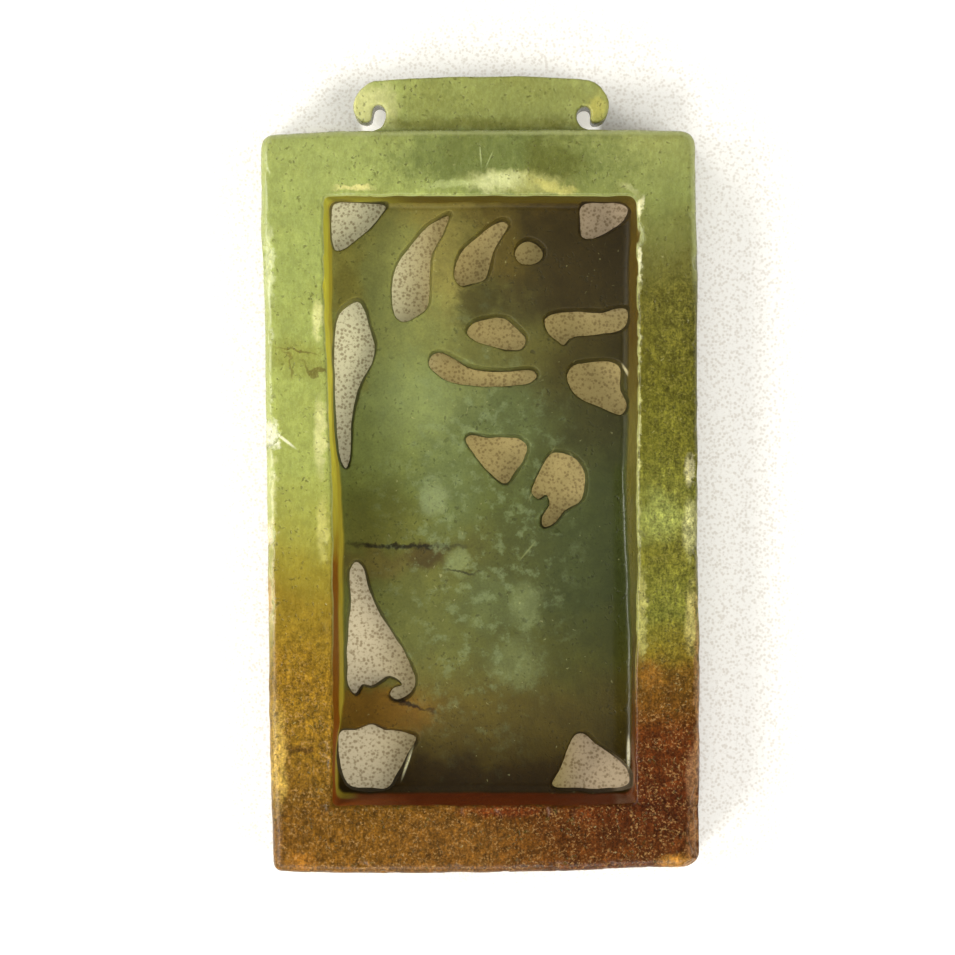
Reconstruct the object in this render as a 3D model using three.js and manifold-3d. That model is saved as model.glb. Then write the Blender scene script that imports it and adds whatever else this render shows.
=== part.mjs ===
// A carved jade plaque, lying on its plain back: one half of a scent case, cut from a single pebble.
// A thick frame stands round a sunk field that is pierced by fifteen openings, and a tab with
// scrolled ends grows out of the head of the frame. All of it is one piece of stone.
//
// Millimetres. +Z comes out of the sunk side, +Y points to the tab and X runs across the plaque.
// The origin is on the flat back, under the middle of the plaque's box.

import * as THREE from 'three';
import Module from 'manifold-3d';

const wasm = await Module();
wasm.setup();

// ---- driving dimensions ----

const WIDTH = 44.0;
const LENGTH = 80.1;
const THICKNESS = 9.0;
const FIELD_THICKNESS = 3.0;

const LEFT = -WIDTH / 2;
const RIGHT = WIDTH / 2;
const FOOT = -LENGTH / 2;
const CREST = LENGTH / 2;
const HEAD = 34.5;

const FACE_ARRIS = { rise: 1.0, run: 1.1 };
const BACK_ARRIS = { rise: 0.6, run: 0.6 };
const ARRIS_STEPS = 4;
const CORNER_STEPS = 5;
const CURVE_STEP = 0.1;
const FACET_DEVIATION = 0.03;

const FIELD_FILLET = 0.45;
const FILLET_STEPS = 2;
const RIM_LIP = 0.25;

const TAB_UNDERSIDE = 1.2;
const TAB_FACE = 7.1;
const TAB_ARRIS = { rise: 0.4, run: 0.28 };

const OPENING_THROAT_HEIGHT = 1.4;
const OPENING_FLARE = 0.2;
const OPENING_LEAN = new THREE.Vector2(0.1, 0.1);

const PAST_FACE = 1.0;

const JADE = { color: 0x7d8746, roughness: 0.35, metalness: 0.0 };

// ---- outlines ----

// The frame's outline, anticlockwise from its lower left corner: x, y and corner radius.
// Its long sides lean and bow by a few tenths, as hand-worked stone does.
const FRAME_OUTLINE = [
  [LEFT + 1.2, FOOT + 0.3, 0.8],
  [-18.0, FOOT + 0.1, 0],
  [-14.0, FOOT, 0],
  [0.0, FOOT, 0],
  [8.0, FOOT + 0.2, 0],
  [14.0, FOOT + 0.45, 0],
  [RIGHT - 0.05, FOOT + 0.6, 1.6],
  [RIGHT, -26.0, 0],
  [RIGHT, -17.0, 0],
  [RIGHT - 0.2, -8.0, 0],
  [RIGHT - 0.2, 23.0, 0],
  [RIGHT - 0.4, 29.0, 0],
  [RIGHT - 0.45, HEAD - 0.05, 1.7],
  [14.0, HEAD, 0],
  [-12.0, HEAD - 0.05, 0],
  [-17.0, HEAD - 0.3, 0],
  [LEFT, HEAD - 0.45, 1.3],
  [LEFT, 24.0, 0],
  [LEFT + 0.2, 20.0, 0],
  [LEFT + 0.45, 8.0, 0],
  [LEFT + 0.6, -5.0, 0],
  [LEFT + 0.8, -24.0, 0],
  [LEFT + 0.9, -30.0, 0],
  [LEFT + 1.15, -35.0, 0],
];

// The wall round the sunk field, anticlockwise from its lower left corner:
// rim x and y on the face, foot x and y on the field, and corner radius.
const RECESS_WALL = [
  [-15.1, -33.5, -14.4, -32.3, 0.8],
  [15.7, -33.3, 15.2, -32.3, 0.8],
  [15.7, -24.0, 15.3, -24.0, 0],
  [15.8, -15.0, 15.3, -16.0, 0],
  [15.9, -9.0, 15.0, -9.0, 0],
  [15.9, -3.0, 14.75, -3.5, 0],
  [15.9, 12.0, 14.95, 12.0, 0],
  [15.9, 28.0, 15.1, 27.4, 1.2],
  [-15.9, 28.0, -15.1, 27.4, 0.7],
  [-15.9, 16.0, -14.9, 16.0, 0],
  [-15.4, 6.0, -14.7, 6.0, 0],
  [-15.2, 0.0, -14.2, 0.0, 0],
  [-15.0, -7.0, -13.8, -6.0, 0],
  [-15.0, -23.0, -13.8, -23.0, 0],
  [-15.0, -27.5, -14.4, -27.0, 0],
];

// The tab's outline, anticlockwise: its root inside the frame, the right scroll from the neck
// round to the hooked tip and up over the shoulder, the low arched crest, and the left scroll.
const TAB_OUTLINE = [
  [-10.6, 33.0],
  [10.6, 33.0],
  [11.5, 33.7],
  [11.1, 34.5],
  [10.2, 34.9],
  [9.8, 35.6],
  [9.85, 36.4],
  [10.2, 36.75],
  [10.8, 36.75],
  [11.05, 36.3],
  [11.0, 35.6],
  [11.3, 35.15],
  [12.0, 35.2],
  [12.7, 35.8],
  [13.0, 36.8],
  [12.9, 37.7],
  [12.5, 38.5],
  [11.9, 39.2],
  [11.1, 39.65],
  [9.0, CREST - 0.2],
  [5.0, CREST - 0.05],
  [1.5, CREST],
  [-4.0, CREST - 0.1],
  [-9.3, CREST - 0.4],
  [-10.8, 39.5],
  [-11.6, 39.05],
  [-12.3, 38.4],
  [-12.75, 37.6],
  [-12.85, 36.7],
  [-12.6, 35.9],
  [-12.1, 35.4],
  [-11.5, 35.25],
  [-11.0, 35.5],
  [-10.9, 36.2],
  [-10.75, 36.8],
  [-10.3, 37.0],
  [-9.75, 36.75],
  [-9.5, 36.2],
  [-9.7, 35.4],
  [-10.1, 34.85],
  [-11.1, 34.5],
  [-11.5, 33.7],
];

// The openings through the field, each as points round its throat, in no set direction.
const OPENINGS = {
  upper_left_corner: [
    [-15.15, 27.0], [-14.9, 27.45], [-14.3, 27.6], [-12.0, 27.6], [-10.0, 27.5], [-9.6, 27.2],
    [-10.1, 26.4], [-11.2, 25.1], [-12.7, 23.8], [-13.9, 22.9], [-14.7, 22.7], [-15.1, 23.7],
  ],
  tall_leaf: [
    [-3.2, 26.4], [-3.4, 25.7], [-4.0, 24.2], [-4.8, 22.9], [-5.15, 21.7], [-5.2, 19.2], [-5.4, 17.1],
    [-6.4, 16.1], [-7.9, 15.5], [-8.6, 16.0], [-9.0, 17.8], [-8.9, 19.9], [-8.3, 21.6], [-7.0, 23.4],
    [-5.7, 24.9], [-4.2, 26.0],
  ],
  short_leaf: [
    [2.3, 25.7], [2.8, 25.4], [2.3, 24.3], [1.3, 22.7], [0.9, 20.9], [0.5, 19.9], [-0.8, 19.4],
    [-1.9, 19.1], [-2.5, 19.7], [-2.6, 21.0], [-1.9, 22.7], [-0.2, 24.2], [1.3, 25.3],
  ],
  drop: [
    [3.5, 22.4], [3.9, 23.2], [4.8, 23.7], [5.7, 23.4], [6.4, 22.6], [6.2, 21.8], [5.1, 21.3],
    [4.0, 21.4],
  ],
  upper_right_corner: [
    [10.2, 26.8], [10.5, 27.4], [12.1, 27.65], [14.3, 27.5], [15.0, 27.0], [14.5, 25.7], [13.1, 24.7],
    [11.3, 23.9], [10.4, 24.1], [10.2, 25.6],
  ],
  bar: [
    [6.5, 15.6], [6.9, 16.1], [8.3, 16.4], [11.1, 16.5], [12.4, 16.45], [13.8, 16.8], [14.9, 16.7],
    [15.0, 15.7], [14.4, 14.7], [11.9, 14.2], [9.1, 13.8], [8.4, 13.1], [7.8, 13.6], [6.9, 14.3],
  ],
  bean: [
    [-1.4, 14.3], [-0.8, 15.2], [0.8, 15.7], [2.5, 15.75], [3.6, 14.8], [4.5, 13.8], [4.2, 12.8],
    [2.6, 12.6], [1.2, 13.0], [-0.5, 13.5],
  ],
  sickle: [
    [-5.2, 11.2], [-4.9, 12.1], [-4.1, 12.4], [-2.7, 11.8], [-1.1, 10.85], [1.0, 10.5], [3.5, 10.5],
    [5.3, 10.55], [5.7, 10.0], [4.9, 9.3], [2.5, 9.0], [-0.5, 9.0], [-3.1, 9.4], [-4.6, 10.4],
  ],
  wedge: [
    [8.9, 10.1], [9.4, 11.0], [11.1, 11.35], [13.3, 11.4], [14.2, 10.8], [14.2, 8.6], [14.85, 7.0],
    [14.2, 6.05], [12.6, 6.6], [9.9, 7.9], [9.1, 9.0],
  ],
  shield: [
    [-1.5, 3.5], [-1.0, 3.9], [0.1, 3.8], [0.8, 3.6], [2.3, 3.7], [3.9, 3.5], [4.7, 2.8], [4.4, 1.5],
    [3.4, -0.1], [2.6, -1.05], [1.8, -0.7], [0.1, 1.1],
  ],
  fish: [
    [7.2, 2.0], [8.1, 2.1], [9.4, 1.6], [10.4, 0.4], [10.6, -1.0], [10.1, -2.8], [8.6, -3.7],
    [7.5, -5.0], [6.3, -5.4], [6.2, -4.5], [7.1, -3.1], [6.7, -2.1], [5.9, -2.55], [5.2, -1.9],
    [6.0, 0.0],
  ],
  left_spindle: [
    [-13.2, 17.3], [-12.4, 17.5], [-11.8, 16.6], [-11.3, 14.7], [-10.8, 13.0], [-11.1, 11.4],
    [-12.2, 9.3], [-12.9, 7.0], [-13.2, 5.0], [-13.3, 1.6], [-13.7, 0.5], [-14.25, 1.4],
    [-14.65, 4.4], [-14.8, 8.5], [-14.8, 13.1], [-14.3, 16.3],
  ],
  flared_robe: [
    [-13.3, -9.9], [-12.7, -9.0], [-12.0, -9.5], [-11.2, -12.2], [-9.8, -15.0], [-7.5, -18.6],
    [-6.6, -21.1], [-7.2, -22.4], [-8.5, -23.0], [-9.2, -22.5], [-8.8, -21.8], [-7.95, -21.5],
    [-8.3, -20.95], [-9.4, -20.6], [-11.1, -21.6], [-12.1, -21.4], [-12.7, -22.4], [-13.5, -21.5],
    [-13.65, -18.9], [-13.4, -14.8], [-13.2, -12.8],
  ],
  lower_left_corner: [
    [-14.5, -27.0], [-14.1, -26.2], [-12.6, -26.1], [-11.0, -25.5], [-9.8, -26.05], [-7.7, -26.3],
    [-6.5, -26.8], [-7.5, -28.7], [-8.5, -30.7], [-9.4, -31.9], [-11.4, -32.0], [-13.3, -31.8],
    [-14.2, -30.3],
  ],
  lower_right_corner: [
    [7.3, -31.7], [8.1, -30.1], [9.0, -28.0], [9.7, -26.6], [10.6, -26.5], [11.8, -27.6],
    [13.7, -28.9], [15.0, -30.3], [15.1, -31.6], [12.7, -32.1], [9.6, -32.0],
  ],
};

// ---- outline and body makers ----

/** Corner stations as points on the inner side of the outline, with each corner turned by an arc. */
function roundedOutline(stations, inset = 0) {
  const count = stations.length;
  const vertices = stations.map(([x, y]) => new THREE.Vector2(x, y));
  const inward = vertices.map((vertex, i) => {
    const along = vertices[(i + 1) % count].clone().sub(vertex).normalize();
    return new THREE.Vector2(-along.y, along.x);
  });
  const moved = vertices.map((vertex, i) => {
    const before = inward[(i + count - 1) % count];
    const after = inward[i];
    const miter = before.clone().add(after).divideScalar(1 + before.dot(after));
    return vertex.clone().addScaledVector(miter, inset);
  });
  return moved.flatMap((vertex, i) => {
    const radius = stations[i][2];
    if (radius === 0) {
      return [vertex];
    }
    const previous = moved[(i + count - 1) % count];
    const next = moved[(i + 1) % count];
    return cornerArc(previous, vertex, next, Math.max(radius - inset, 0.15));
  });
}

/** Points of the arc that rounds the corner at vertex. */
function cornerArc(previous, vertex, next, radius) {
  const back = previous.clone().sub(vertex).normalize();
  const ahead = next.clone().sub(vertex).normalize();
  const halfAngle = Math.acos(back.dot(ahead)) / 2;
  const middle = back.clone().add(ahead).normalize();
  const centre = vertex.clone().addScaledVector(middle, radius / Math.sin(halfAngle));
  const start = vertex.clone().addScaledVector(back, radius / Math.tan(halfAngle)).sub(centre);
  const turn = Math.PI - 2 * halfAngle;
  const points = [];
  for (let step = 0; step <= CORNER_STEPS; step += 1) {
    const spoke = start.clone().rotateAround(new THREE.Vector2(), (turn * step) / CORNER_STEPS);
    points.push(centre.clone().add(spoke));
  }
  return points;
}

/** A smooth closed outline through the given points, anticlockwise, in small even steps. */
function smoothOutline(points) {
  const curve = new THREE.CatmullRomCurve3(
    points.map(([x, y]) => new THREE.Vector3(x, y, 0)),
    true,
    'centripetal',
  );
  const count = Math.ceil(curve.getLength() / CURVE_STEP);
  const outline = curve.getSpacedPoints(count).slice(0, count);
  const flat = outline.map(({ x, y }) => new THREE.Vector2(x, y));
  return THREE.ShapeUtils.isClockWise(flat) ? flat.reverse() : flat;
}

/** The outline moved outwards by a distance, point by point. */
function grownOutline(outline, distance) {
  const count = outline.length;
  return outline.map((point, i) => {
    const before = outline[(i + count - 1) % count];
    const after = outline[(i + 1) % count];
    const along = after.clone().sub(before).normalize();
    return point.clone().add(new THREE.Vector2(along.y, -along.x).multiplyScalar(distance));
  });
}

/** How far the outline's points between two of its indices stand from the chord that joins them. */
function chordDeviation(outline, from, to) {
  const start = outline[from];
  const chord = outline[to % outline.length].clone().sub(start).normalize();
  let deviation = 0;
  for (let i = from + 1; i < to; i += 1) {
    deviation = Math.max(deviation, Math.abs(outline[i].clone().sub(start).cross(chord)));
  }
  return deviation;
}

/** Levels of a smooth body, with only the points that keep the first outline's facets true. */
function thinned(levels) {
  const outline = levels[0].outline;
  const kept = [0];
  for (let i = 2; i <= outline.length; i += 1) {
    const from = kept[kept.length - 1];
    if (chordDeviation(outline, from, i) > FACET_DEVIATION) {
      kept.push(i - 1);
    }
  }
  return levels.map((level) => ({
    height: level.height,
    outline: kept.map((index) => level.outline[index]),
  }));
}

/** A closed solid through outlines of equal point count, from the lowest level up. */
function loft(levels) {
  const ringSize = levels[0].outline.length;
  const positions = levels.flatMap(({ height, outline }) => outline.flatMap(({ x, y }) => [x, y, height]));
  const triangles = [];
  for (let level = 0; level < levels.length - 1; level += 1) {
    for (let i = 0; i < ringSize; i += 1) {
      const low = level * ringSize + i;
      const lowNext = level * ringSize + ((i + 1) % ringSize);
      triangles.push(low, lowNext, lowNext + ringSize);
      triangles.push(low, lowNext + ringSize, low + ringSize);
    }
  }
  const topStart = (levels.length - 1) * ringSize;
  THREE.ShapeUtils.triangulateShape(levels[0].outline, []).forEach(([a, b, c]) => {
    triangles.push(c, b, a);
  });
  THREE.ShapeUtils.triangulateShape(levels[levels.length - 1].outline, []).forEach(([a, b, c]) => {
    triangles.push(topStart + a, topStart + b, topStart + c);
  });
  return new wasm.Manifold(
    new wasm.Mesh({
      numProp: 3,
      vertProperties: Float32Array.from(positions),
      triVerts: Uint32Array.from(triangles),
    }),
  );
}

/** Levels of a quarter-round arris: how far in the outline stands, and the drop below the edge. */
function arrisLevels({ rise, run }) {
  const levels = [];
  for (let step = 0; step <= ARRIS_STEPS; step += 1) {
    const angle = (Math.PI / 2) * (step / ARRIS_STEPS);
    levels.push({ inset: run * (1 - Math.cos(angle)), drop: rise * (1 - Math.sin(angle)) });
  }
  return levels;
}

// ---- the parts of the carving ----

/** The frame before it is hollowed: a tall block with rounded arrises. */
function frameBlock() {
  const lower = arrisLevels(BACK_ARRIS).reverse();
  const upper = arrisLevels(FACE_ARRIS);
  return loft([
    ...lower.map(({ inset, drop }) => ({
      height: drop,
      outline: roundedOutline(FRAME_OUTLINE, inset),
    })),
    ...upper.map(({ inset, drop }) => ({
      height: THICKNESS - drop,
      outline: roundedOutline(FRAME_OUTLINE, inset),
    })),
  ]);
}

/** The tab with its two scrolls, its root sunk into the head of the frame. */
function scrolledTab() {
  const outline = smoothOutline(TAB_OUTLINE);
  const levels = arrisLevels(TAB_ARRIS);
  return loft(
    thinned([
      ...levels.toReversed().map(({ inset, drop }) => ({
        height: TAB_UNDERSIDE + drop,
        outline: grownOutline(outline, -inset),
      })),
      ...levels.map(({ inset, drop }) => ({
        height: TAB_FACE - drop,
        outline: grownOutline(outline, -inset),
      })),
    ]),
  );
}

/** The space over the sunk field: sloping walls, a fillet at their foot and a worn rim. */
function recess() {
  const wallHeight = THICKNESS - FIELD_THICKNESS;
  const wallAt = (share, inset) => {
    const stations = RECESS_WALL.map(([rimX, rimY, footX, footY, radius]) => [
      THREE.MathUtils.lerp(footX, rimX, share),
      THREE.MathUtils.lerp(footY, rimY, share),
      radius,
    ]);
    return { height: FIELD_THICKNESS + share * wallHeight, outline: roundedOutline(stations, inset) };
  };
  const levels = [];
  for (let step = 0; step <= FILLET_STEPS; step += 1) {
    const angle = (Math.PI / 2) * (step / FILLET_STEPS);
    const rise = FIELD_FILLET * (1 - Math.cos(angle));
    levels.push(wallAt(rise / wallHeight, FIELD_FILLET * (1 - Math.sin(angle))));
  }
  levels.push(wallAt(1 - RIM_LIP / wallHeight, RIM_LIP));
  levels.push(wallAt(1, 0));
  levels.push({ height: THICKNESS + PAST_FACE, outline: wallAt(1, -PAST_FACE).outline });
  return loft(levels);
}

/** The space of one opening: an even throat that flares and leans a little towards the field. */
function openingSpace(points) {
  const throat = smoothOutline(points);
  const mouth = grownOutline(throat, OPENING_FLARE).map((point) => point.add(OPENING_LEAN));
  return loft(
    thinned([
      { height: -PAST_FACE, outline: throat },
      { height: OPENING_THROAT_HEIGHT, outline: throat },
      { height: FIELD_THICKNESS, outline: mouth },
      { height: FIELD_THICKNESS + PAST_FACE, outline: mouth },
    ]),
  );
}

/** The whole plaque as one mesh. */
function jadePlaque() {
  let stone = frameBlock().add(scrolledTab()).subtract(recess());
  Object.values(OPENINGS).forEach((points) => {
    stone = stone.subtract(openingSpace(points));
  });
  const { vertProperties, triVerts } = stone.getMesh();
  const geometry = new THREE.BufferGeometry();
  geometry.setAttribute('position', new THREE.Float32BufferAttribute(vertProperties, 3));
  geometry.setIndex(Array.from(triVerts));
  const material = new THREE.MeshStandardMaterial({ ...JADE, flatShading: true });
  const plaque = new THREE.Mesh(geometry, material);
  plaque.name = 'jade_plaque';
  return plaque;
}

const group = new THREE.Group();
group.add(jadePlaque());

export default group;
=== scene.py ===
"""A carved jade plaque lying on pale paper: the fine stone surface and its staining.

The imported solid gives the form. It is meshed finely, worn, chipped and scored here, and painted by
one procedural material whose patches are placed in millimetres of the plaque's own frame.
"""

import itertools
import math
from collections import namedtuple

import bmesh
import bpy
import numpy as np
from mathutils import Matrix, Vector


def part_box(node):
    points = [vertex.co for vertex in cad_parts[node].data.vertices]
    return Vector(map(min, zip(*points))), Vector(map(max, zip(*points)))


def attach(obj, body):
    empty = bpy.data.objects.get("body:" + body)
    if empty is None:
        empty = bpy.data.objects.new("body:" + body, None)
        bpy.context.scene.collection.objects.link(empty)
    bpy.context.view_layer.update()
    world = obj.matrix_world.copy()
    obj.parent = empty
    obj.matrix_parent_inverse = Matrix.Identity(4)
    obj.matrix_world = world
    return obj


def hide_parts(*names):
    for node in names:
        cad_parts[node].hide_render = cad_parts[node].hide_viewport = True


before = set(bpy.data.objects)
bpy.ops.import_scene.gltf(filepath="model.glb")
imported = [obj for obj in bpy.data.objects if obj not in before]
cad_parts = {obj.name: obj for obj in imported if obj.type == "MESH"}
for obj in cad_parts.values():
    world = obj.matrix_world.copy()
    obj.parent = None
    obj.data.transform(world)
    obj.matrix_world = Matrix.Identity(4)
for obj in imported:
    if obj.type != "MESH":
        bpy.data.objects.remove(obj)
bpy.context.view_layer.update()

# ---- sizes, in millimetres ----

MM = 0.001
LOW, HIGH = (np.array(corner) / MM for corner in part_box("jade_plaque"))
FACE_Z = HIGH[2]
FIELD_Z = FACE_Z / 3

# The recess at its rim: half its width and length, and its middle along y.
RECESS_HALF = (15.6, 30.7)
RECESS_MIDDLE = -2.8

VOXEL = 0.14
SMOOTHING_ROUNDS = 2
MOST_TRIANGLES = 190_000

# How deep the polish and the nibbles go, and how far the cut edges wander, broadly and finely.
BROAD_POLISH, FINE_POLISH = 0.07, 0.03
NIBBLE = 0.16
BROAD_SWAY, FINE_SWAY = 0.13, 0.06

# ---- noise for the form ----


def lattice_values(cells, seed):
    """A fixed value from -1 to 1 for each whole-numbered cell."""
    x, y, z = (cells[:, axis].astype(np.int64) for axis in range(3))
    mixed = (x * 73856093) ^ (y * 19349663) ^ (z * 83492791) ^ (seed * 2654435761)
    mixed &= 0xFFFFFFFF
    mixed = ((mixed ^ (mixed >> 15)) * 0x2C1B3C6D) & 0xFFFFFFFF
    mixed = ((mixed ^ (mixed >> 12)) * 0x297A2D39) & 0xFFFFFFFF
    mixed ^= mixed >> 15
    return mixed / 0x7FFFFFFF - 1


def value_noise(points, size, seed):
    """Smooth noise from -1 to 1 at the points, with features about size millimetres apart."""
    cells = points / size
    base = np.floor(cells)
    part = cells - base
    part = part * part * (3 - 2 * part)
    total = np.zeros(len(points))
    for corner in itertools.product((0, 1), repeat=3):
        weight = np.prod(np.where(corner, part, 1 - part), axis=1)
        total += weight * lattice_values(base + corner, seed)
    return total


def fractal_noise(points, size, seed, octaves=3):
    """Layers of value noise, each half as large and half as strong as the one before."""
    layers = [value_noise(points, size / 2**n, seed + n) / 2**n for n in range(octaves)]
    return sum(layers) / sum(0.5**n for n in range(octaves))


def smoothstep(low, high, values):
    """From 0 to 1 as the values go from low to high, smoothly."""
    share = np.clip((values - low) / (high - low), 0, 1)
    return share * share * (3 - 2 * share)


# ---- the stone's form ----


def applied(holder):
    """The object's mesh with its modifiers applied."""
    depsgraph = bpy.context.evaluated_depsgraph_get()
    return bpy.data.meshes.new_from_object(holder.evaluated_get(depsgraph), depsgraph=depsgraph)


def voxel_surface(source):
    """The solid's surface as a fine even mesh, in millimetres, with its edges slightly eased."""
    mesh = source.data.copy()
    shell = bmesh.new()
    shell.from_mesh(mesh)
    bmesh.ops.remove_doubles(shell, verts=shell.verts, dist=1e-7)
    bmesh.ops.scale(shell, vec=Vector((1, 1, 1)) / MM, verts=shell.verts)
    shell.to_mesh(mesh)
    shell.free()
    holder = bpy.data.objects.new("solid", mesh)
    bpy.context.scene.collection.objects.link(holder)
    remesh = holder.modifiers.new("voxels", "REMESH")
    remesh.mode = "VOXEL"
    remesh.voxel_size = VOXEL
    smooth = holder.modifiers.new("ease", "SMOOTH")
    smooth.factor = 0.5
    smooth.iterations = SMOOTHING_ROUNDS
    fine = applied(holder)
    bpy.data.objects.remove(holder)
    bpy.data.meshes.remove(mesh)
    return fine


def mesh_vectors(elements, name):
    """One vector of each element of a mesh, as rows of an array."""
    values = np.empty(len(elements) * 3, np.float32)
    elements.foreach_get(name, values)
    return values.reshape(-1, 3).astype(float)


def polish(points, normals):
    """Slight unevenness of stone ground and polished by hand. It only takes stone away."""
    above_back = smoothstep(0.05, 0.8, points[:, 2])
    broad = 0.5 + 0.5 * fractal_noise(points, 9.0, 11)
    fine = 0.5 + 0.5 * fractal_noise(points, 2.2, 23)
    depth = (BROAD_POLISH * broad + FINE_POLISH * fine) * above_back
    return points - normals * depth[:, None]


def hand_cut(points):
    """The points moved a little sideways, so that no cut edge runs quite true."""
    for axis, seed in ((0, 61), (1, 73)):
        broad = fractal_noise(points, 5.0, seed)
        fine = value_noise(points, 1.4, seed + 5)
        points[:, axis] += BROAD_SWAY * broad + FINE_SWAY * fine
    return points


def worn_arrises(points, normals):
    """Small nibbles along the outer arris of the face and the rim of the recess."""
    across, along = np.abs(points[:, 0]), np.abs(points[:, 1] - RECESS_MIDDLE)
    outer = np.minimum(HIGH[0] - across, points[:, 1] - LOW[1])
    rim = np.abs(np.maximum(across - RECESS_HALF[0], along - RECESS_HALF[1]))
    near = np.maximum(1 - smoothstep(0.6, 1.8, outer), 1 - smoothstep(0.4, 1.0, rim))
    near *= smoothstep(FACE_Z - 1.6, FACE_Z - 0.4, points[:, 2])
    nibble = NIBBLE * smoothstep(0.15, 0.6, fractal_noise(points, 1.3, 41))
    return points - normals * (near * nibble)[:, None]


# A bite out of an arris: its centre, its reach along each axis, its depth and the way it goes in.
Chip = namedtuple("Chip", "centre reach depth way")
CHIPS = [
    Chip((-21.9, 21.0, 9.0), (1.0, 2.9, 1.3), 0.35, (0.7, 0.0, -0.7)),
    Chip((-21.6, 4.0, 9.0), (1.5, 1.9, 1.6), 0.6, (0.7, 0.0, -0.7)),
    Chip((-21.4, -6.2, 8.8), (0.9, 1.4, 1.2), 0.35, (0.7, 0.0, -0.7)),
    Chip((-21.4, -12.2, 8.8), (0.8, 2.6, 1.2), 0.3, (0.7, 0.0, -0.7)),
    Chip((21.6, -35.2, 8.8), (0.9, 4.0, 1.1), 0.3, (-0.7, 0.0, -0.7)),
    Chip((21.4, 0.4, 8.8), (0.6, 1.6, 1.0), 0.3, (-0.7, 0.0, -0.7)),
    Chip((21.4, -39.3, 8.6), (1.2, 0.8, 1.2), 0.25, (-0.6, 0.5, -0.6)),
    Chip((15.9, 23.5, 9.0), (0.5, 1.6, 0.7), 0.22, (0.7, 0.0, -0.7)),
]


def chipped(points):
    """The points with each chip's stone taken away, its bed broken by noise."""
    for number, chip in enumerate(CHIPS):
        offset = (points - chip.centre) / chip.reach
        ragged = np.linalg.norm(offset, axis=1) + 0.35 * fractal_noise(points, 0.9, 100 + number)
        bite = chip.depth * (1 - smoothstep(0.55, 1.0, ragged))
        points = points + bite[:, None] * np.array(chip.way)
    return points


# Lines scored by the tool in the field, along the foot of its walls: two ends and a depth.
Score = namedtuple("Score", "start end depth")
SCORE_WIDTH = 0.16
SCORES = [
    Score((-9.5, -31.75), (14.6, -31.7), 0.12),
    Score((-7.5, -31.35), (-2.0, -31.4), 0.06),
    Score((-14.0, 27.0), (14.2, 27.05), 0.10),
    Score((14.55, 16.0), (14.4, -2.0), 0.08),
]


def scored(points):
    """The points of the field with the tool's lines sunk into it."""
    on_field = 1 - smoothstep(FIELD_Z + 0.3, FIELD_Z + 0.8, points[:, 2])
    on_field *= smoothstep(FIELD_Z - 0.6, FIELD_Z - 0.2, points[:, 2])
    for score in SCORES:
        start, end = np.array(score.start), np.array(score.end)
        along = end - start
        share = np.clip((points[:, :2] - start) @ along / (along @ along), 0, 1)
        aside = np.linalg.norm(points[:, :2] - start - share[:, None] * along, axis=1)
        points[:, 2] -= score.depth * np.exp(-((aside / SCORE_WIDTH) ** 2)) * on_field
    return points


def carved_plaque(stone):
    """The whole plaque as one fine mesh that stands for the solid."""
    fine = voxel_surface(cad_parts["jade_plaque"])
    points = mesh_vectors(fine.vertices, "co")
    normals = mesh_vectors(fine.vertex_normals, "vector")
    points = polish(points, normals)
    points = worn_arrises(points, normals)
    points = hand_cut(scored(chipped(points)))
    points = np.clip(points, LOW, HIGH)
    fine.vertices.foreach_set("co", points.astype(np.float32).ravel())
    fine.update()
    plaque = bpy.data.objects.new("carved_plaque", fine)
    bpy.context.scene.collection.objects.link(plaque)
    thin = plaque.modifiers.new("thin", "DECIMATE")
    thin.ratio = min(1.0, MOST_TRIANGLES / (2 * len(fine.polygons)))
    thin.use_collapse_triangulate = True
    plaque.data = applied(plaque)
    plaque.modifiers.clear()
    plaque.data.transform(Matrix.Scale(MM, 4))
    plaque.data.polygons.foreach_set("use_smooth", [True] * len(plaque.data.polygons))
    plaque.data.materials.clear()
    plaque.data.materials.append(stone)
    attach(plaque, "root")
    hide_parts("jade_plaque")
    return plaque


# ---- node trees ----


def linear(red, green, blue, light=1.0):
    """A colour given in display values from 0 to 255, as the share of light that it returns."""
    channels = (channel / 255 for channel in (red, green, blue))
    curve = (c / 12.92 if c <= 0.04045 else ((c + 0.055) / 1.055) ** 2.4 for c in channels)
    return (*(channel / light for channel in curve), 1.0)


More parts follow.
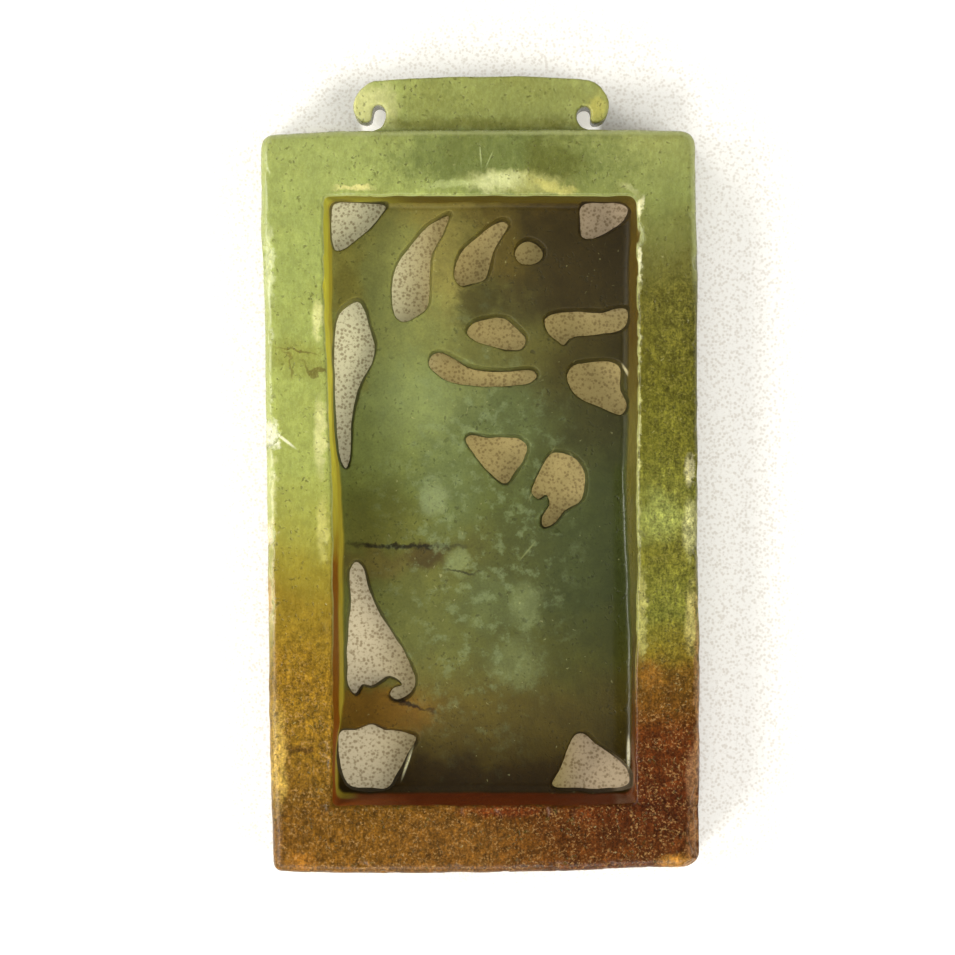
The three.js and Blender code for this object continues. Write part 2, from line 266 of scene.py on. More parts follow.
class Graph:
    """A short way to write a node tree."""

    def __init__(self, tree):
        self.tree = tree

    def node(self, kind, inputs, **settings):
        node = self.tree.nodes.new(kind)
        for name, value in settings.items():
            setattr(node, name, value)
        for key, value in inputs.items():
            if isinstance(value, bpy.types.NodeSocket):
                self.tree.links.new(value, node.inputs[key])
            else:
                node.inputs[key].default_value = value
        return node

    def math(self, operation, first, second=0.0, **settings):
        inputs = {0: first, 1: second}
        return self.node("ShaderNodeMath", inputs, operation=operation, **settings).outputs[0]

    def product(self, *factors):
        total = factors[0]
        for factor in factors[1:]:
            total = self.math("MULTIPLY", total, factor)
        return total

    def vector(self, operation, first, second=(0, 0, 0)):
        inputs = {0: first, 1: second}
        node = self.node("ShaderNodeVectorMath", inputs, operation=operation)
        return node.outputs["Value" if operation == "LENGTH" else "Vector"]

    def between(self, value, low, high, start=0.0, end=1.0):
        """From start to end as the value goes from low to high, smoothly."""
        inputs = {0: value, 1: low, 2: high, 3: start, 4: end}
        return self.node("ShaderNodeMapRange", inputs, interpolation_type="SMOOTHSTEP").outputs[0]

    def noise(self, point, scale, detail=3.0, roughness=0.55, output="Fac"):
        inputs = {"Vector": point, "Scale": scale, "Detail": detail, "Roughness": roughness}
        return self.node("ShaderNodeTexNoise", inputs).outputs[output]

    def mix(self, share, first, second, blend="MIX"):
        node = self.node("ShaderNodeMix", {}, data_type="RGBA", blend_type=blend)
        for key, value in ((0, share), (6, first), (7, second)):
            if isinstance(value, bpy.types.NodeSocket):
                self.tree.links.new(value, node.inputs[key])
            else:
                node.inputs[key].default_value = value
        return node.outputs[2]

    def split(self, position):
        return self.node("ShaderNodeSeparateXYZ", {0: position}).outputs

    def millimetres(self):
        """The object's own position, in millimetres."""
        point = self.vector("SCALE", self.node("ShaderNodeTexCoord", {}).outputs["Object"])
        point.node.inputs["Scale"].default_value = 1 / MM
        return point

    def warped(self, point, scale, amount):
        """The position pushed sideways by noise, up to about half the amount."""
        push = self.vector("SUBTRACT", self.noise(point, scale, 4.0, output="Color"), (0.5,) * 3)
        return self.vector("ADD", point, self.vector("MULTIPLY", push, (amount, amount, 0.0)))

    def mottled(self, share, colour, value, contrast):
        """The colour made lighter and darker by the value, around a half."""
        swing = self.math("MULTIPLY", self.math("SUBTRACT", value, 0.5), contrast)
        level = self.math("MAXIMUM", self.math("ADD", 1.0, swing), 0.05)
        grey = self.node("ShaderNodeCombineXYZ", {0: level, 1: level, 2: level}).outputs[0]
        return self.mix(share, colour, grey, "MULTIPLY")

    def dots(self, point, scale, radius, kept):
        """1 on scattered round dots, 0 elsewhere; kept is the share of the dots that show."""
        cells = self.node("ShaderNodeTexVoronoi", {"Vector": point, "Scale": scale}).outputs
        chance = self.node("ShaderNodeSeparateColor", {0: cells["Color"]}).outputs[0]
        disc = self.between(cells["Distance"], radius * 0.5, radius, 1.0, 0.0)
        return self.product(disc, self.math("LESS_THAN", chance, kept))

    def ramp(self, value, low, high, stops):
        """Colours at given values between low and high, with smooth steps between them."""
        share = self.math("DIVIDE", self.math("SUBTRACT", value, low), high - low)
        node = self.node("ShaderNodeValToRGB", {0: share})
        elements = node.color_ramp.elements
        while len(elements) < len(stops):
            elements.new(1.0)
        for element, (place, shade) in zip(elements, sorted(stops.items())):
            element.position = (place - low) / (high - low)
            element.color = shade
        return node.outputs[0]


def patch_group(turns):
    """A node group: 1 inside an ellipsoid, 0 outside it, with a soft and broken edge."""
    tree = bpy.data.node_groups.new("turned_patch" if turns else "patch", "ShaderNodeTree")
    vectors = (("Point", "Vector"), ("Centre", "Vector"), ("Reach", "Vector"))
    floats = (("Turn", "Float"), ("Softness", "Float"), ("Break", "Float"))
    for name, kind in (*vectors, *floats):
        tree.interface.new_socket(name, in_out="INPUT", socket_type=f"NodeSocket{kind}")
    tree.interface.new_socket("Share", in_out="OUTPUT", socket_type="NodeSocketFloat")
    graph = Graph(tree)
    given = graph.node("NodeGroupInput", {}).outputs
    offset = graph.vector("SUBTRACT", given["Point"], given["Centre"])
    if turns:
        inputs = {"Vector": offset, "Angle": given["Turn"]}
        turned = graph.node("ShaderNodeVectorRotate", inputs, rotation_type="Z_AXIS")
        offset = turned.outputs[0]
    distance = graph.vector("LENGTH", graph.vector("DIVIDE", offset, given["Reach"]))
    distance = graph.math("ADD", distance, given["Break"])
    inner = graph.math("SUBTRACT", 1.0, given["Softness"])
    outer = graph.math("ADD", 1.0, given["Softness"])
    share = graph.between(distance, inner, outer, 1.0, 0.0)
    graph.node("NodeGroupOutput", {"Share": share})
    return tree


# ---- the jade ----

# How much light falls on each part, against a white that shows as full white.
FACE_LIGHT = 2.2
FIELD_LIGHT = 1.82
WALL_LIGHT = 1.2


def face_colour(red, green, blue):
    return linear(red, green, blue, FACE_LIGHT)


def field_colour(red, green, blue):
    return linear(red, green, blue, FIELD_LIGHT)


def wall_colour(red, green, blue):
    return linear(red, green, blue, WALL_LIGHT)


# Colours along the frame, by height on the plaque, at its left and right rails.
LEFT_RAIL = {
    35: (160, 170, 97), 20: (160, 171, 93), 8: (165, 174, 92), 0: (163, 171, 88),
    -5: (160, 160, 72), -9: (152, 140, 50), -13: (144, 121, 36), -20: (142, 108, 24),
    -28: (132, 98, 22), -34: (110, 74, 14), -39: (118, 78, 16),
}
RIGHT_RAIL = {
    35: (157, 162, 95), 28: (135, 143, 78), 22: (112, 111, 54), 18: (101, 97, 36),
    10: (99, 95, 28), 2: (108, 106, 34), -4: (120, 122, 50), -8: (112, 109, 36),
    -14: (118, 119, 44), -17: (122, 108, 30), -20: (106, 76, 18), -26: (94, 45, 8),
    -33: (78, 33, 6), -39: (90, 46, 10),
}
LEFT_FIELD = {
    28: (118, 106, 42), 22: (140, 137, 64), 15: (124, 127, 64), 8: (116, 125, 68),
    2: (112, 121, 60), -3: (97, 104, 42), -8: (96, 94, 36), -13: (97, 100, 44),
    -18: (96, 98, 44), -23: (96, 82, 22), -28: (68, 56, 12), -32: (52, 39, 8),
}
RIGHT_FIELD = {
    28: (66, 48, 8), 22: (54, 44, 12), 16: (54, 46, 10), 11: (60, 52, 12),
    6: (59, 60, 23), 0: (64, 70, 31), -6: (62, 69, 31), -13: (58, 64, 27),
    -19: (66, 66, 20), -23: (68, 60, 14), -28: (64, 52, 8), -32: (48, 34, 4),
}

# A stain, cloud or vein, or in the rows so marked a painted highlight or painted shade: centre and
# reach in x and y, turn in degrees, softness, colour, strength and which warp of the stone's
# position its outline follows.
# A patch narrower than SMALL is skin deep; a wider one runs through the stone.
Patch = namedtuple("Patch", "centre reach turn softness colour strength warp")
SMALL = 1.3
SHALLOW = 4.5
THROUGH = 1000.0
FACE_PATCHES = [
    Patch((2.0, 31.5), (11.0, 3.4), 0, 0.5, (106, 116, 60), 0.85, "broad"),
    Patch((7.5, 31.0), (3.0, 3.0), 0, 0.5, (100, 102, 42), 0.6, "broad"),
    # The next five rows are painted highlights: pale patches along the top rim of the recess.
    Patch((3.6, 29.2), (4.6, 1.0), -3, 0.5, (176, 176, 106), 0.8, "ragged"),
    Patch((1.6, 29.3), (2.6, 0.9), 3, 0.6, (212, 216, 154), 0.8, "ragged"),
    Patch((7.3, 28.7), (2.0, 0.42), -14, 0.5, (200, 194, 112), 0.7, "ragged"),
    Patch((-2.8, 29.0), (2.6, 0.4), 6, 0.5, (190, 200, 130), 0.6, "ragged"),
    Patch((-12.7, 28.7), (1.7, 0.28), 0, 0.5, (222, 216, 140), 0.9, "ragged"),
    Patch((-16.3, 15.4), (0.5, 1.7), 0, 0.5, (224, 224, 152), 0.85, "ragged"),
    Patch((-16.0, 3.9), (0.6, 3.5), 0, 0.5, (216, 214, 146), 0.75, "ragged"),
    Patch((-15.8, -5.5), (0.5, 2.8), 0, 0.5, (206, 200, 118), 0.6, "ragged"),
    Patch((-18.1, 11.6), (3.0, 1.8), -10, 0.5, (132, 130, 50), 0.5, "ragged"),
    Patch((-18.6, 12.4), (2.2, 0.14), -14, 0.5, (98, 78, 32), 0.6, "broad"),
    Patch((-17.0, 10.6), (1.6, 0.14), -22, 0.5, (98, 78, 32), 0.6, "broad"),
    Patch((-19.8, 11.0), (0.14, 1.4), 12, 0.5, (104, 84, 38), 0.5, "broad"),
    Patch((-20.9, 3.9), (0.7, 1.5), 0, 0.4, (240, 240, 208), 1.0, "ragged"),
    Patch((-19.6, 3.4), (1.2, 0.14), -38, 0.5, (238, 238, 200), 0.9, "none"),
    Patch((-21.2, 20.6), (0.5, 3.4), 0, 0.5, (222, 228, 174), 0.7, "ragged"),
    Patch((-21.0, -6.0), (0.5, 1.2), 0, 0.5, (240, 230, 190), 1.0, "ragged"),
    Patch((-21.0, -12.4), (0.4, 2.6), 0, 0.5, (220, 190, 140), 0.8, "ragged"),
    Patch((-21.0, -1.2), (0.5, 3.0), 0, 0.5, (214, 214, 150), 0.7, "ragged"),
    Patch((-20.6, -28.6), (1.0, 5.0), 0, 0.5, (196, 164, 76), 0.7, "broad"),
    Patch((-17.6, -38.8), (1.3, 0.8), 0, 0.5, (164, 108, 30), 0.8, "ragged"),
    Patch((-18.0, -27.6), (1.6, 0.35), -4, 0.5, (92, 62, 18), 0.7, "ragged"),
    Patch((17.9, -4.2), (2.6, 2.3), 0, 0.5, (146, 152, 76), 0.85, "broad"),
    Patch((16.1, -13.6), (0.5, 4.2), 0, 0.5, (180, 176, 104), 0.7, "ragged"),
    Patch((16.9, -20.2), (1.1, 1.5), 0, 0.5, (146, 98, 34), 0.5, "ragged"),
    Patch((20.9, 0.2), (0.5, 1.5), 0, 0.4, (214, 208, 156), 0.8, "ragged"),
    Patch((21.0, -5.5), (0.7, 2.4), 0, 0.5, (206, 204, 140), 0.7, "ragged"),
    Patch((21.1, -14.5), (0.6, 3.0), 0, 0.5, (200, 186, 116), 0.6, "ragged"),
    Patch((21.6, -26.0), (0.25, 13.0), 0, 0.6, (176, 132, 84), 0.6, "ragged"),
    # The next four rows are painted highlights: pale lines along the right rim of the recess, one
    # near a chip.
    Patch((15.9, 26.8), (0.24, 1.0), -10, 0.5, (230, 228, 180), 0.9, "ragged"),
    Patch((15.9, 21.2), (0.26, 1.6), 0, 0.5, (232, 230, 186), 0.9, "ragged"),
    Patch((15.7, 8.0), (0.2, 14.0), 0, 0.6, (186, 184, 116), 0.7, "ragged"),
    Patch((14.9, 28.5), (1.0, 0.25), -35, 0.5, (186, 188, 130), 0.6, "ragged"),
    Patch((21.2, -30.6), (0.6, 2.8), 0, 0.5, (160, 116, 78), 0.6, "ragged"),
    Patch((21.2, -36.5), (0.6, 2.8), 0, 0.5, (158, 112, 70), 0.6, "ragged"),
    Patch((19.8, -38.9), (1.9, 0.8), 0, 0.5, (178, 124, 44), 0.8, "ragged"),
    Patch((10.9, -33.9), (1.4, 0.8), 0, 0.5, (112, 52, 12), 0.55, "ragged"),
    Patch((2.0, -33.7), (3.6, 0.6), 0, 0.5, (112, 46, 10), 0.7, "ragged"),
    Patch((-3.0, -37.0), (7.0, 2.4), 0, 0.6, (122, 82, 26), 0.5, "broad"),
    Patch((0.0, 31.9), (0.07, 1.0), 4, 0.5, (176, 186, 128), 0.8, "none"),
    Patch((0.9, 31.5), (0.06, 0.8), -24, 0.5, (170, 180, 122), 0.7, "none"),
    # Painted shade: a dark strip across the tab where it meets the step up to the frame.
    Patch((0.0, 35.15), (12.0, 0.6), 0, 0.5, (120, 118, 46), 0.6, "ragged"),
    Patch((1.0, 37.6), (9.5, 2.4), 0, 0.6, (136, 141, 74), 0.7, "broad"),
    Patch((-10.9, 36.9), (2.2, 2.4), 0, 0.5, (208, 208, 142), 0.85, "broad"),
    Patch((11.9, 36.6), (1.3, 1.6), 0, 0.5, (190, 184, 96), 0.75, "broad"),
]
FIELD_PATCHES = [
    Patch((8.4, 21.6), (10.0, 6.0), 0, 0.5, (50, 40, 8), 0.85, "broad"),
    Patch((2.0, 23.4), (2.4, 4.0), 20, 0.5, (88, 74, 22), 0.75, "broad"),
    Patch((-4.0, 21.4), (2.2, 5.5), 12, 0.5, (124, 114, 54), 0.7, "broad"),
    Patch((-9.6, 20.6), (3.6, 7.0), 0, 0.5, (112, 118, 64), 0.6, "broad"),
    Patch((-13.5, 15.5), (1.4, 8.0), 0, 0.5, (122, 114, 46), 0.7, "broad"),
    Patch((2.0, 13.0), (6.0, 3.0), 0, 0.6, (94, 90, 34), 0.5, "broad"),
    Patch((-0.2, 17.4), (2.6, 2.4), 0, 0.5, (64, 58, 16), 0.85, "broad"),
    Patch((-6.4, 7.6), (4.2, 3.6), 0, 0.6, (126, 136, 78), 0.7, "broad"),
    Patch((-3.6, -0.8), (2.8, 4.6), 10, 0.6, (92, 102, 56), 0.75, "broad"),
    Patch((-4.8, -2.6), (1.2, 1.6), 0, 0.6, (134, 144, 98), 0.6, "ragged"),
    Patch((1.5, 5.5), (4.6, 3.0), 0, 0.6, (84, 94, 50), 0.6, "broad"),
    Patch((-2.3, -8.9), (1.3, 1.3), 0, 0.4, (118, 126, 76), 0.8, "ragged"),
    Patch((1.0, -12.6), (2.6, 2.6), 0, 0.6, (90, 98, 54), 0.6, "broad"),
    Patch((4.6, -13.4), (1.5, 2.2), 0, 0.6, (106, 114, 68), 0.7, "ragged"),
    Patch((3.6, -19.2), (2.6, 2.4), 0, 0.6, (100, 106, 60), 0.7, "ragged"),
    Patch((-10.6, -4.2), (3.4, 3.6), 0, 0.5, (90, 90, 30), 0.6, "broad"),
    Patch((-11.0, -9.4), (3.4, 1.8), 0, 0.5, (98, 84, 34), 0.6, "broad"),
    Patch((-5.4, -8.3), (2.0, 1.2), 6, 0.5, (66, 50, 18), 0.75, "ragged"),
    Patch((-10.4, -24.0), (5.4, 2.4), 0, 0.5, (112, 79, 12), 0.85, "broad"),
    Patch((11.5, 6.0), (3.0, 5.0), 0, 0.6, (56, 52, 18), 0.5, "broad"),
    Patch((0.0, -31.0), (16.0, 1.7), 0, 0.5, (44, 31, 5), 0.7, "broad"),
    Patch((-8.0, -7.3), (5.4, 0.26), -1, 0.6, (26, 20, 4), 0.9, "ragged"),
    Patch((-2.0, -9.9), (1.6, 0.14), -8, 0.6, (34, 32, 14), 0.8, "ragged"),
    Patch((-7.1, -23.4), (2.5, 0.2), -18, 0.6, (34, 18, 2), 0.9, "ragged"),
    # The next five rows are painted highlights: pale lines along the edges of openings and at the
    # foot of the right wall, some on chipped edges.
    Patch((-7.3, -28.9), (0.14, 1.8), -18, 0.5, (214, 210, 170), 0.9, "none"),
    Patch((9.9, 0.7), (0.12, 1.3), 30, 0.5, (190, 184, 130), 0.8, "none"),
    Patch((6.2, 0.0), (0.12, 2.4), -26, 0.5, (170, 164, 104), 0.7, "none"),
    Patch((14.9, 10.2), (0.14, 0.9), 30, 0.5, (190, 180, 140), 0.8, "none"),
    Patch((15.0, -28.3), (0.16, 1.5), 0, 0.5, (224, 216, 180), 0.9, "none"),
    Patch((4.8, -7.8), (0.08, 1.1), -40, 0.5, (120, 124, 72), 0.7, "none"),
]
# Colours down the recess's left and right walls. The pale yellow of the left wall's upper part is
# partly the stone's own colour and partly painted glow, for light coming through the left rail.
LEFT_WALL = {28: (176, 172, 52), 5: (206, 196, 64), -6: (160, 146, 44), -9: (122, 74, 8),
             -22: (112, 66, 6), -33: (128, 60, 3)}
RIGHT_WALL = {28: (76, 60, 8), 14: (64, 48, 6), 4: (86, 78, 28), -12: (78, 74, 28),
              -22: (62, 40, 6), -33: (92, 36, 2)}


def shaded(stops, shade):
    """The stops with their colours turned into the shares of light that they return."""
    return {place: shade(*colour) for place, colour in stops.items()}


# The recess with its rim, for the paint: half its width and length, and its middle along y.
PAINTED_HALF = (16.3, 31.2)
PAINTED_MIDDLE = -2.9


class Stone:
    """Where a point lies in the stone, with the noises that all its shades share."""

    def __init__(self, graph):
        self.graph = graph
        self.point = point = graph.millimetres()
        self.points = {
            "none": point,
            "broad": graph.warped(point, 0.3, 5.0),
            "ragged": graph.warped(point, 0.9, 1.5),
        }
        torn = graph.math("SUBTRACT", graph.noise(point, 0.9, 6.0, 0.7), 0.5)
        self.breaks = {
            "none": 0.0,
            "broad": graph.product(torn, 1.1),
            "ragged": graph.product(torn, 1.7),
        }
        self.groups = {turns: patch_group(turns) for turns in (False, True)}
        self.x, self.y, self.z = graph.split(point)
        self.broad_x, self.broad_y, _ = graph.split(self.points["broad"])
        self.find_parts()
        self.find_weathering()
        self.make_noises()

    def find_parts(self):
        """The sunk field, its walls and the frame's arris."""
        graph, z = self.graph, self.z
        aside = graph.math("ABSOLUTE", self.x)
        along = graph.math("ABSOLUTE", graph.math("SUBTRACT", self.y, PAINTED_MIDDLE))
        self.inside_x = graph.math("SUBTRACT", PAINTED_HALF[0], aside)
        inside_y = graph.math("SUBTRACT", PAINTED_HALF[1], along)
        inside = graph.between(graph.math("MINIMUM", self.inside_x, inside_y), 0.0, 0.1)
        below_face = graph.between(z, FACE_Z - 0.6, FACE_Z - 0.2, 1.0, 0.0)
        on_floor = graph.between(z, FIELD_Z + 0.1, FIELD_Z + 0.7, 1.0, 0.0)
        self.wall = graph.product(inside, below_face)
        self.floor = graph.product(inside, on_floor)
        self.arris = graph.product(
            graph.between(z, FACE_Z - 0.3, FACE_Z - 0.12, 1.0, 0.0),
            graph.between(z, FACE_Z - 1.1, FACE_Z - 0.5),
        )

    def find_weathering(self):
        """How much soil and iron the stone has taken up: the olive right rail, the russet foot."""
        graph = self.graph
        russet_top = graph.between(self.x, -18.0, 17.0, -10.0, -16.0)
        self.russet = graph.between(self.broad_y, russet_top, -24.0)
        olive = graph.product(
            graph.between(self.broad_x, 13.0, 19.0), graph.between(self.broad_y, 24.0, 15.0)
        )
        self.weathered = graph.math("MAXIMUM", olive, self.russet)

    def make_noises(self):
        """Clouds, blotches, mottling, streaks and grain, dark specks and pale crumbs."""
        graph, point, ragged = self.graph, self.point, self.points["ragged"]
        self.clouds = graph.noise(point, 0.45, 4.0, 0.6)
        self.blotches = graph.noise(point, 1.1, 4.0, 0.68)
        stretched = graph.vector("MULTIPLY", point, (1.0, 0.6, 1.0))
        self.mottle = graph.noise(stretched, 2.4, 4.0, 0.65)
        drawn_out = graph.vector("MULTIPLY", point, (1.0, 0.12, 1.0))
        self.streaks = graph.noise(drawn_out, 4.5, 2.0, 0.6)
        self.grain = graph.noise(point, 4.5, 3.0, 0.7)
        large_specks = graph.dots(ragged, 1.1, 0.24, 0.45)
        small_specks = graph.dots(ragged, 2.3, 0.34, 0.7)
        clusters = graph.between(self.clouds, 0.38, 0.62)
        self.specks = graph.product(graph.math("MAXIMUM", large_specks, small_specks), clusters)
        self.crumbs = graph.product(graph.dots(ragged, 1.5, 0.15, 0.22), self.mottle)

    def side_to_side(self, x, left, right, shade, low, high):
        """Colours that run down the stone and change from its left side to its right."""
        bottom, top = LOW[1], HIGH[1]
        left_shade = self.graph.ramp(self.broad_y, bottom, top, shaded(left, shade))
        right_shade = self.graph.ramp(self.broad_y, bottom, top, shaded(right, shade))
        return self.graph.mix(self.graph.between(x, low, high), left_shade, right_shade)

    def share(self, centre, reach, depth, z, softness, warp, turn=0):
        """1 inside a patch, 0 outside it."""
        inputs = {
            "Point": self.points[warp],
            "Centre": (*centre, z),
            "Reach": (*reach, depth),
            "Turn": math.radians(-turn),
            "Softness": softness,
            "Break": self.breaks[warp],
        }
        group = self.groups[turn != 0]
        return self.graph.node("ShaderNodeGroup", inputs, node_tree=group).outputs[0]

    def painted(self, patches, shade, z, base):
        """The base colour with each patch laid over it."""
        for patch in patches:
            depth = SHALLOW if min(patch.reach) < SMALL else THROUGH
            share = self.share(
                patch.centre, patch.reach, depth, z, patch.softness, patch.warp, patch.turn
            )
            share = self.graph.math("MULTIPLY", share, patch.strength)
            base = self.graph.mix(share, base, shade(*patch.colour))
        return base

    def face(self):
        """The frame and the tab, with painted highlights on the arris and rims and painted shade at
        the tab's foot.
        """
        graph, weathered = self.graph, self.weathered
        face = self.side_to_side(self.broad_x, LEFT_RAIL, RIGHT_RAIL, face_colour, -15.0, 16.0)
        face = self.painted(FACE_PATCHES, face_colour, FACE_Z, face)

        def more_where_weathered(least, added):
            return graph.math("ADD", least, graph.product(weathered, added))

        face = graph.mottled(1.0, face, self.clouds, 0.55)
        stained = graph.between(graph.noise(self.points["broad"], 0.22), 0.48, 0.66)
        face = graph.mix(graph.product(stained, 0.3), face, (0.78, 0.72, 0.6, 1.0), "MULTIPLY")
        face = graph.mottled(more_where_weathered(0.12, 0.7), face, self.blotches, 2.2)
        coarse = more_where_weathered(0.22, 0.78)
        face = graph.mottled(coarse, face, self.mottle, 2.4)
        face = graph.mottled(coarse, face, self.grain, 2.6)
        face = graph.mottled(more_where_weathered(0.12, 0.3), face, self.streaks, 2.0)
        flecks = graph.product(
            graph.between(graph.noise(self.point, 4.4, 3.0, 0.6), 0.52, 0.66),
            graph.between(graph.noise(self.point, 0.8, 3.0, 0.6), 0.35, 0.60),
            weathered,
        )
        fleck_colour = graph.mix(self.russet, face_colour(150, 142, 70), face_colour(190, 150, 92))
        face = graph.mix(graph.product(flecks, 0.55), face, fleck_colour)
        face = graph.mix(graph.product(self.specks, 0.6), face, face_colour(74, 68, 20))
        face = graph.mix(graph.product(self.crumbs, 0.5), face, face_colour(216, 212, 156))
        # Painted highlight: the arris made pale, except where the stone is weathered.
        sound = graph.math("SUBTRACT", 1.0, weathered)
        return graph.mix(graph.product(self.arris, sound, 0.5), face, face_colour(196, 202, 138))

    def walls(self):
        """The walls of the recess, the left one partly painted glow, paler at the foot on the left,
        and with painted shade under the top rim.
        """
        graph = self.graph
        walls = self.side_to_side(self.x, LEFT_WALL, RIGHT_WALL, wall_colour, -14.0, -6.0)
        foot = graph.product(
            graph.between(self.z, FIELD_Z + 1.8, FIELD_Z + 3.2, 1.0, 0.0),
            graph.between(self.x, -12.0, -13.5),
        )
        walls = graph.mix(graph.product(foot, 0.85), walls, wall_colour(158, 142, 42))
        walls = graph.mottled(0.5, walls, self.streaks, 1.4)
        # Painted shade: the top wall of the recess darkened where it lies in shadow under the rim.
        shade_under_rim = graph.product(
            graph.between(self.y, 27.2, 27.8), graph.between(self.inside_x, 0.4, 1.2)
        )
        return graph.mix(graph.product(shade_under_rim, 0.75), walls, wall_colour(70, 62, 12))

    def field(self):
        """The sunk field, with a pale mist in its middle and painted highlights along some edges."""
        graph = self.graph
        field = self.side_to_side(self.broad_x, LEFT_FIELD, RIGHT_FIELD, field_colour, -9.0, 10.0)
        field = self.painted(FIELD_PATCHES, field_colour, FIELD_Z, field)
        field = graph.mottled(1.0, field, self.clouds, 0.8)
        misty = self.share((-1.0, -6.0), (9.0, 18.0), THROUGH, FIELD_Z, 0.5, "broad")
        mist = graph.between(graph.noise(self.point, 0.75, 6.0, 0.65), 0.50, 0.66)
        field = graph.mix(graph.product(mist, misty, 0.5), field, field_colour(122, 134, 90))
        field = graph.mottled(0.4, field, self.grain, 1.8)
        field = graph.mix(graph.product(self.specks, 0.45), field, field_colour(34, 34, 12))
        return graph.mix(graph.product(self.crumbs, 0.7), field, field_colour(172, 170, 116))

    def roughness(self):
        """Polished where it is sound, duller where it is weathered and on most of the walls."""
        graph = self.graph
        least = graph.math(
            "ADD", graph.product(self.mottle, 0.14), graph.product(self.weathered, 0.06)
        )
        gleam = graph.product(
            graph.between(self.x, 13.0, 14.0), graph.between(self.broad_y, 2.0, 0.0)
        )
        dull = graph.product(self.wall, graph.math("SUBTRACT", 1.0, gleam), 0.35)
        return graph.math("ADD", graph.math("ADD", least, dull), 0.2)

    def pitted(self):
        """The normal of the surface with its pits and specks."""
        graph = self.graph
        pits = graph.math("ADD", graph.product(self.mottle, 0.6), graph.product(self.grain, 0.4))
        depth = graph.math("ADD", 0.15, graph.product(self.weathered, 0.85))
        sunk = graph.product(self.specks, 0.4)
        height = graph.math("SUBTRACT", graph.product(pits, depth), sunk)
        inputs = {"Height": height, "Distance": 0.00012, "Strength": 0.6}
        return graph.node("ShaderNodeBump", inputs).outputs[0]


def jade():
    """Green nephrite with russet and brown stains, waxy and a little translucent."""
    material = bpy.data.materials.new("jade")
    material.use_nodes = True
    graph = Graph(material.node_tree)
    stone = Stone(graph)
    shader = material.node_tree.nodes["Principled BSDF"]
    link = material.node_tree.links.new
    colour = graph.mix(stone.wall, stone.face(), stone.walls())
    colour = graph.mix(stone.floor, colour, stone.field())
    link(colour, shader.inputs["Base Color"])
    link(stone.roughness(), shader.inputs["Roughness"])
    link(stone.pitted(), shader.inputs["Normal"])
    shader.inputs["IOR"].default_value = 1.6
    shader.inputs["Specular IOR Level"].default_value = 0.14
    shader.inputs["Subsurface Weight"].default_value = 0.35
    shader.inputs["Subsurface Radius"].default_value = (1.0, 0.9, 0.4)
    shader.inputs["Subsurface Scale"].default_value = 0.0018
    return material


# ---- the stage ----


BLACK = (0.0, 0.0, 0.0, 1.0)
PAPER = linear(204, 203, 200)
PAPER_FLECK = linear(166, 158, 148)
SHADED_FLECK = linear(116, 94, 54)
NOTCH_GLOW = (1.6, 1.55, 1.4, 1.0)
GLOW = 0.37


def paper():
    """Off-white paper with a speckled grain. Under the plaque it is painted a darker tan, lighter on
    the left,
    and gives off some light of its own: painted shade and glow that stand for the light that comes
    through the stone and round its edges."""
    material = bpy.data.materials.new("paper")
    material.use_nodes = True
    graph = Graph(material.node_tree)
    shader = material.node_tree.nodes["Principled BSDF"]
    link = material.node_tree.links.new
    point = graph.millimetres()
    x, y, _ = graph.split(point)
    aside = graph.math("ABSOLUTE", x)
    under = graph.product(
        graph.between(aside, HIGH[0] - 6, HIGH[0] - 2, 1.0, 0.0),
        graph.between(graph.math("ABSOLUTE", y), HIGH[1] - 8, HIGH[1] - 4, 1.0, 0.0),
    )
    # Painted light and shade: under the plaque the paper is lighter on the left, most towards the
    # top, and a darker tan towards the middle and right.
    left = graph.mix(graph.between(y, -14.0, 12.0), linear(206, 192, 158), linear(222, 216, 174))
    warm = graph.mix(graph.between(x, -12.0, -3.0), left, linear(176, 157, 100))
    # Painted light: the paper under the plaque made lighter near the right-hand corners of the
    # recess, where the walls shade it.
    away = graph.math("ABSOLUTE", graph.math("SUBTRACT", y, RECESS_MIDDLE))
    corner = graph.product(graph.between(x, 7.0, 11.0), graph.between(away, 18.0, 24.0))
    warm = graph.mix(corner, warm, linear(200, 178, 144))
    grain = graph.noise(point, 3.0, 3.0, 0.6)
    fine = graph.dots(point, 2.6, 0.5, 0.8)
    flecks = graph.math("MAXIMUM", fine, graph.between(grain, 0.50, 0.70))
    colour = graph.mix(graph.product(flecks, 0.5), PAPER, PAPER_FLECK)
    warm = graph.mix(graph.product(flecks, 0.62), warm, SHADED_FLECK)
    notch = graph.product(
        graph.between(aside, 9.3, 9.8),
        graph.between(aside, 11.6, 12.6, 1.0, 0.0),
        graph.between(y, 33.4, 34.2),
        graph.between(y, 37.0, 37.6, 1.0, 0.0),
    )
    under = graph.product(under, graph.math("SUBTRACT", 1.0, notch))
    glow = graph.mix(notch, graph.mix(under, BLACK, warm), NOTCH_GLOW)
    colour = graph.mix(under, colour, graph.mix(0.5, warm, BLACK))
    link(colour, shader.inputs["Base Color"])
    link(glow, shader.inputs["Emission Color"])
    shader.inputs["Emission Strength"].default_value = GLOW
    bump = graph.node("ShaderNodeBump", {"Height": grain, "Distance": 0.0001, "Strength": 0.5})
    link(bump.outputs[0], shader.inputs["Normal"])
    shader.inputs["Roughness"].default_value = 0.9
    return material


FLOOR_HALF = 0.6


def stage():
    """A wide flat sheet of the paper."""
    mesh = bpy.data.meshes.new("paper")
    corners = [(-1, -1), (1, -1), (1, 1), (-1, 1)]
    mesh.from_pydata([(x * FLOOR_HALF, y * FLOOR_HALF, 0.0) for x, y in corners], [], [range(4)])
    mesh.materials.append(paper())
    floor = bpy.data.objects.new("paper", mesh)
    bpy.context.scene.collection.objects.link(floor)


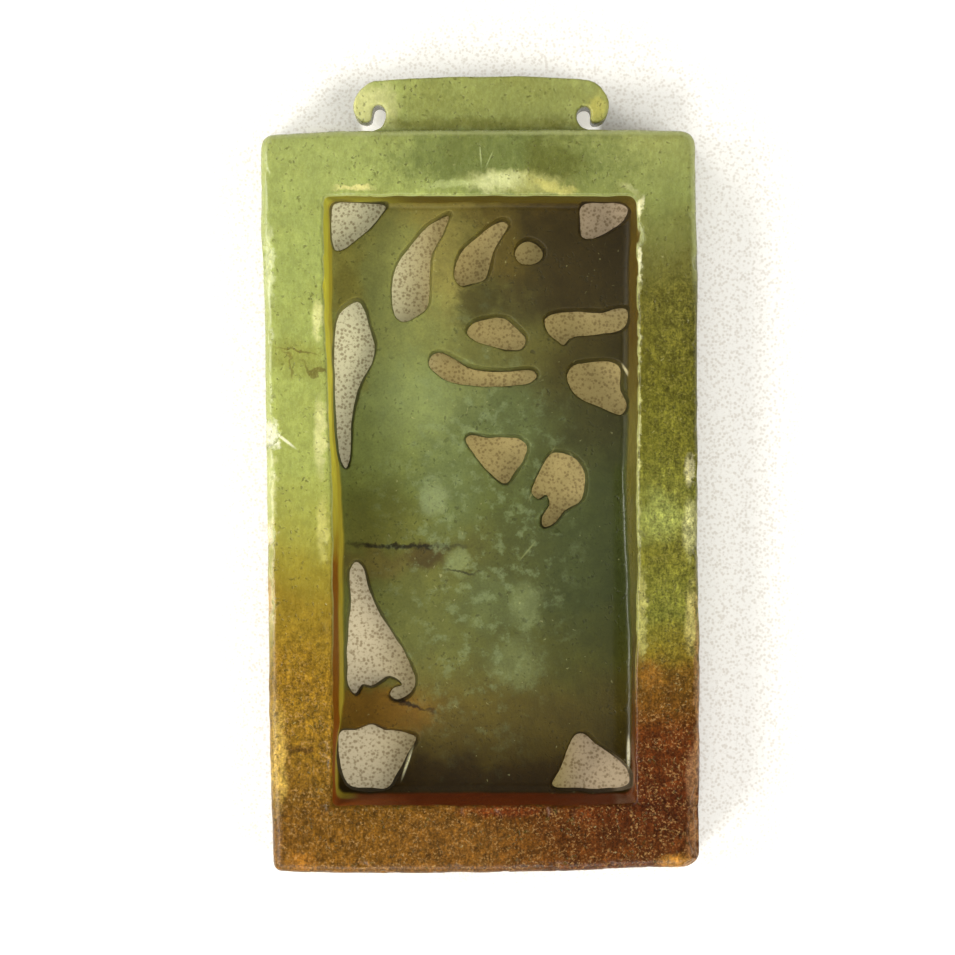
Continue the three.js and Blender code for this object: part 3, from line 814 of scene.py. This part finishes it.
def area_light(name, place, size, power):
    """A round soft light that faces the plaque."""
    light = bpy.data.lights.new(name, "AREA")
    light.shape = "DISK"
    light.size = size
    light.energy = power
    light.color = WARM_LIGHT
    lamp = bpy.data.objects.new(name, light)
    lamp.location = place
    lamp.rotation_euler = (-Vector(place)).to_track_quat("-Z", "Y").to_euler()
    bpy.context.scene.collection.objects.link(lamp)
    return lamp


# Soft boxes that stand round the plaque: bearing in degrees from the right-hand side, and power.
SOFT_BOXES = {135: 3.0, 180: 7.4, 225: 7.4, 270: 4.4}
WARM_LIGHT = (1.0, 0.98, 0.92)
BOX_AWAY = 0.75
BOX_UP = 0.52
BOX_SIZE = 0.36
FILL_PLACE = (0.55, -0.15, 0.75)
FILL_POWER = 9.0
AMBIENT = 0.65


def lighting():
    """Soft boxes low round the plaque, a fill from the right and an even glow from all sides."""
    for bearing, power in SOFT_BOXES.items():
        turn = math.radians(bearing)
        place = (BOX_AWAY * math.cos(turn), BOX_AWAY * math.sin(turn), BOX_UP)
        area_light(f"soft_box_{bearing}", place, BOX_SIZE, power)
    fill = area_light("fill", FILL_PLACE, 2 * BOX_SIZE, FILL_POWER)
    fill.visible_glossy = False
    world = bpy.data.worlds.new("studio")
    world.use_nodes = True
    world.node_tree.nodes["Background"].inputs["Color"].default_value = (1.0, 1.0, 1.0, 1.0)
    world.node_tree.nodes["Background"].inputs["Strength"].default_value = AMBIENT
    world.cycles_visibility.glossy = False
    bpy.context.scene.world = world
    bpy.context.scene.view_settings.view_transform = "Standard"


# The camera stands above a point a little below the face, and sees VIEW_WIDTH at that height.
CAMERA_ASIDE = (-0.3 * MM, -0.376 * MM)
CAMERA_HEIGHT = 0.430
VIEW_WIDTH = 0.0957
SENSOR = 36.0
FOCUS_BELOW_FACE = MM


def camera():
    """Straight above the plaque, with its head at the top of the picture."""
    lens = bpy.data.cameras.new("camera")
    lens.sensor_width = SENSOR
    lens.lens = SENSOR * CAMERA_HEIGHT / VIEW_WIDTH
    holder = bpy.data.objects.new("camera", lens)
    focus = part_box("jade_plaque")[1][2] - FOCUS_BELOW_FACE
    holder.location = (*CAMERA_ASIDE, focus + CAMERA_HEIGHT)
    bpy.context.scene.collection.objects.link(holder)
    bpy.context.scene.camera = holder


camera()
lighting()
stage()
carved_plaque(jade())
